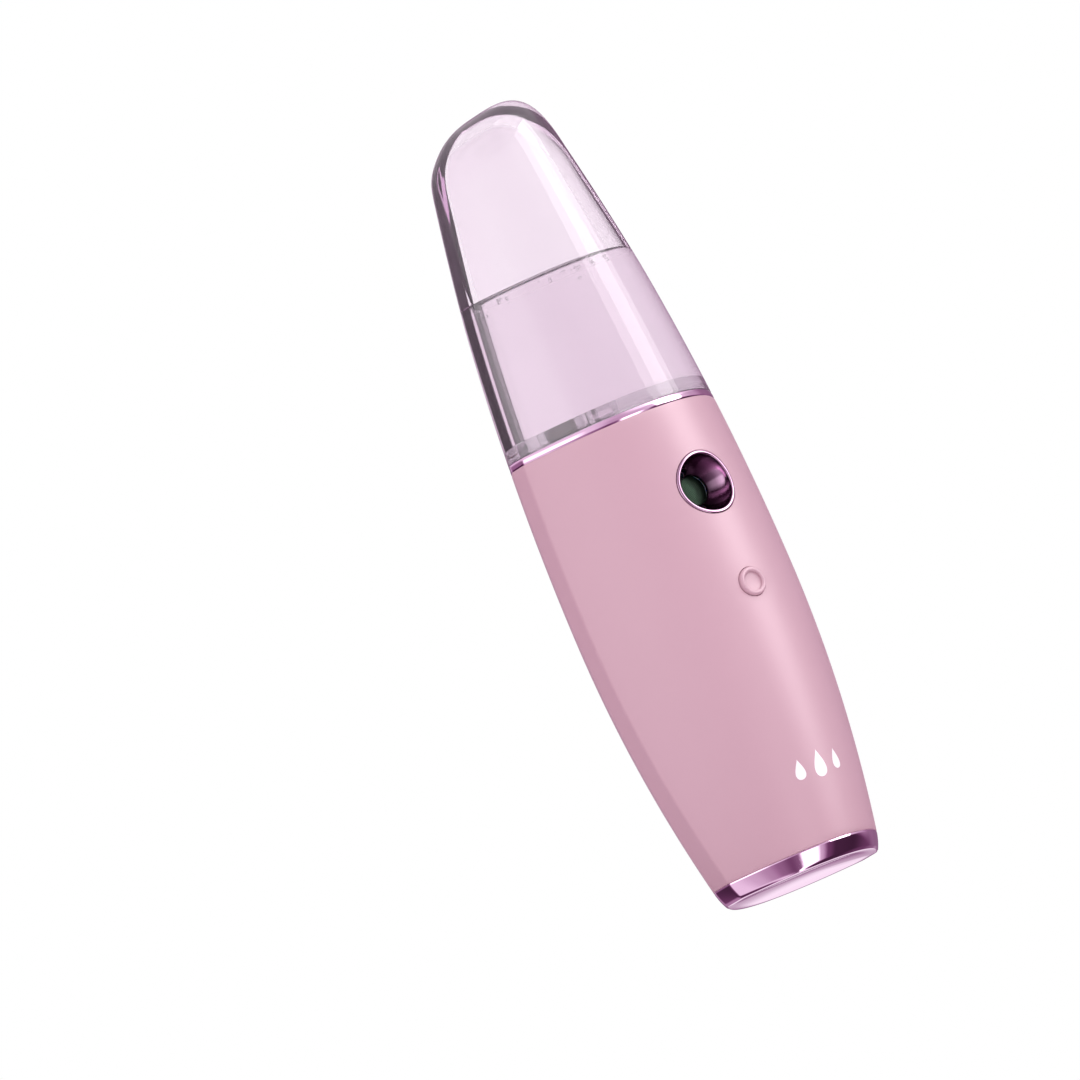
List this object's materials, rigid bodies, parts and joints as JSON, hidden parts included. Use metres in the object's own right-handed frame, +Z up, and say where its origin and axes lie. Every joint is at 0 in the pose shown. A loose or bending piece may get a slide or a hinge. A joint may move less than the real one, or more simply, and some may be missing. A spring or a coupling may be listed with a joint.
{
  "type": "handheld face mister",
  "caption": "Slim upright hand mister: clear slanted water tank that lifts off a satin grip with a round mist nozzle, press button, charging sockets and a bright metal base.",
  "frame": {"origin": "centre of the base cap's underside, where the device stands", "axes": "+Z up along the device towards the tank, -Y out of the front (nozzle and button), +X to the right when the front is seen"},
  "size_m": [0.0448, 0.0395, 0.1409],
  "materials": {
    "soft_pink": "satin soft-touch, pale rose pink",
    "plum_chrome": "mirror-bright metallised plum",
    "clear_lilac": "clear lilac-tinted acrylic, polished",
    "pale_plastic": "plain moulded plastic, pale grey-lilac",
    "screw_steel": "plain steel",
    "cell_wrap": "shrink-wrapped cell, blue",
    "foam": "closed-cell foam",
    "circuit_green": "solder-masked circuit board",
    "black_plastic": "moulded switch housing",
    "white_plastic": "switch actuator",
    "mesh_metal": "fine dark metal mesh",
    "silicone": "translucent white silicone",
    "lead_red": "insulated lead",
    "socket_metal": "nickel-plated contact",
    "water": "still water seen through the lilac tank"
  },
  "bodies": {
    "grip": {"housing": "soft_pink", "base_cap": "plum_chrome", "collar_trim": "plum_chrome", "mist_nozzle": "plum_chrome", "deck": "pale_plastic", "chassis": "pale_plastic", "mist_holder": "pale_plastic", "base_screws": "screw_steel", "deck_screws": "screw_steel", "battery": "cell_wrap", "battery_pads": "foam", "main_board": "circuit_green", "charge_board": "circuit_green", "switch_body": "black_plastic", "mesh_disc": "mesh_metal", "mesh_gaskets": "silicone", "water_duct": "silicone", "mesh_leads": "lead_red", "charge_sockets": "socket_metal"},
    "tank": {"tank_shell": "clear_lilac", "tank_floor": "clear_lilac", "slit_valve": "silicone", "neck_seal": "silicone", "fill_plug": "silicone", "water_fill": "water"},
    "button": {"power_button": "soft_pink", "switch_plunger": "white_plastic"}
  },
  "joints": [
    {"name": "tank_lift", "type": "slide", "parent": "grip", "child": "tank", "axis": [0, 0, 1], "range_m": [0, 0.03]},
    {"name": "button_press", "type": "slide", "parent": "grip", "child": "button", "axis": [0, 1, 0], "range_m": [0, 0.0005], "stiffness_N_per_m": 2500}
  ]
}
